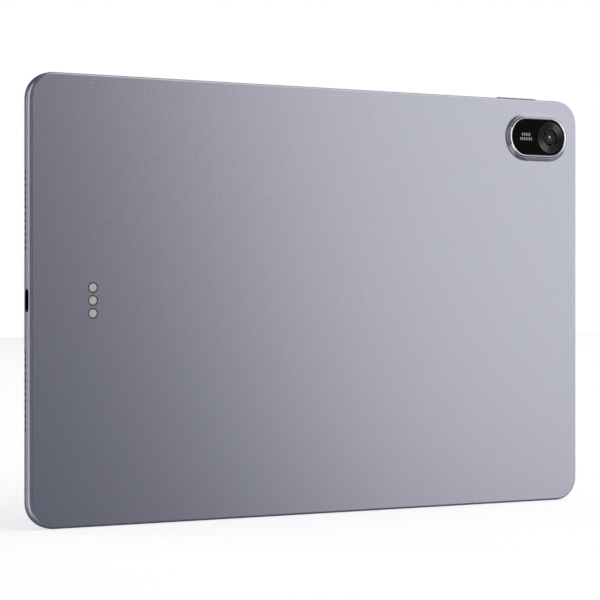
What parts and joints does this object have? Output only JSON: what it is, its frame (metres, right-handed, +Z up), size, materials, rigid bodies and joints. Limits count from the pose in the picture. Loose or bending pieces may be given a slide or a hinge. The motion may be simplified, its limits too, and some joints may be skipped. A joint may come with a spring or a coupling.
{
  "type": "tablet computer",
  "caption": "Thin tablet computer with an aluminium back, a raised pill-shaped camera island, a glass touch screen, edge keys, a charging port and rows of speaker holes.",
  "frame": {"origin": "middle of the bottom long edge, on its flat land, halfway through the thickness", "axes": "+X along the long side, to the right as the back is seen; +Y from the back to the screen; +Z up"},
  "size_m": [0.2615, 0.0082, 0.1775],
  "materials": {
    "anodised_aluminium": "satin, bead-blasted",
    "antenna_carrier": "moulded, plated tracks",
    "black_adhesive": "matte",
    "black_plastic": "moulded, matte",
    "black_rubber": "matte",
    "camera_glass": "black-backed, polished",
    "chip_resin": "moulded, matte",
    "circuit_board": "solder mask, satin",
    "display_glass": "black when off",
    "flex_circuit": "amber film, satin",
    "gold_contact": "gold-plated",
    "graphite": "graphite film",
    "lens_glass": "coated, polished",
    "light_guide": "white, matte",
    "magnet": "nickel-plated",
    "plated_contact": "nickel-plated, satin",
    "polished_aluminium": "polished",
    "port_steel": "satin",
    "pouch_film": "laminated film, satin",
    "screen_glass": "clear, polished",
    "sheet_steel": "bright, rolled",
    "shield_steel": "tinned, satin",
    "speaker_paper": "matte",
    "turned_aluminium": "fine radial brushing",
    "woven_mesh": "woven, dark"
  },
  "bodies": {
    "tablet_body": {"antennas": "antenna_carrier", "backlight_unit": "light_guide", "battery_adhesive": "black_adhesive", "battery_board": "circuit_board", "battery_flex": "flex_circuit", "battery_left": "pouch_film", "battery_right": "pouch_film", "board_connectors": "black_plastic", "board_screws": "sheet_steel", "camera_gasket": "black_rubber", "camera_trim_ring": "polished_aluminium", "camera_window": "camera_glass", "contact_flex": "flex_circuit", "contact_insulators": "black_plastic", "contact_pads": "plated_contact", "cover_glass": "screen_glass", "cover_magnets": "magnet", "display_board": "circuit_board", "display_cable": "flex_circuit", "display_flex": "flex_circuit", "display_tray": "sheet_steel", "front_camera": "black_plastic", "front_camera_flex": "flex_circuit", "glass_adhesive": "black_adhesive", "graphite_sheet": "graphite", "interconnect_flex": "flex_circuit", "key_switches": "sheet_steel", "lcd_cell": "display_glass", "lens_cover": "lens_glass", "lens_ring": "turned_aluminium", "main_board": "circuit_board", "memory_chips": "chip_resin", "microphones": "black_plastic", "power_bracket": "sheet_steel", "processor_chip": "chip_resin", "rear_camera_flex": "flex_circuit", "rear_camera_module": "black_plastic", "rear_housing": "anodised_aluminium", "rear_lens": "lens_glass", "shield_can_power": "shield_steel", "shield_can_processor": "shield_steel", "shield_can_radio": "shield_steel", "speaker_box_lower_left": "black_plastic", "speaker_box_lower_right": "black_plastic", "speaker_box_upper_left": "black_plastic", "speaker_box_upper_right": "black_plastic", "speaker_cone_lower_left": "speaker_paper", "speaker_cone_lower_right": "speaker_paper", "speaker_cone_upper_left": "speaker_paper", "speaker_cone_upper_right": "speaker_paper", "speaker_meshes": "woven_mesh", "sub_board": "circuit_board", "usb_bracket": "sheet_steel", "usb_contacts": "gold_contact", "usb_shell": "port_steel", "usb_tongue": "black_plastic", "volume_bracket": "sheet_steel"},
    "volume_rocker": {"volume_key": "anodised_aluminium"},
    "power_button": {"power_key": "anodised_aluminium"}
  },
  "joints": [
    {"name": "power_key_press", "type": "slide", "parent": "tablet_body", "child": "power_button", "axis": [-1, 0, 0], "range_m": [0, 0.00025], "stiffness_N_per_m": 2000, "springref_m": -0.0006},
    {"name": "volume_rocker_tilt", "type": "hinge", "parent": "tablet_body", "child": "volume_rocker", "pos_m": [0.1, 0, 0.1751], "axis": [0, 1, 0], "range_deg": [-1.2, 1.2], "stiffness_Nm_per_rad": 0.4}
  ]
}
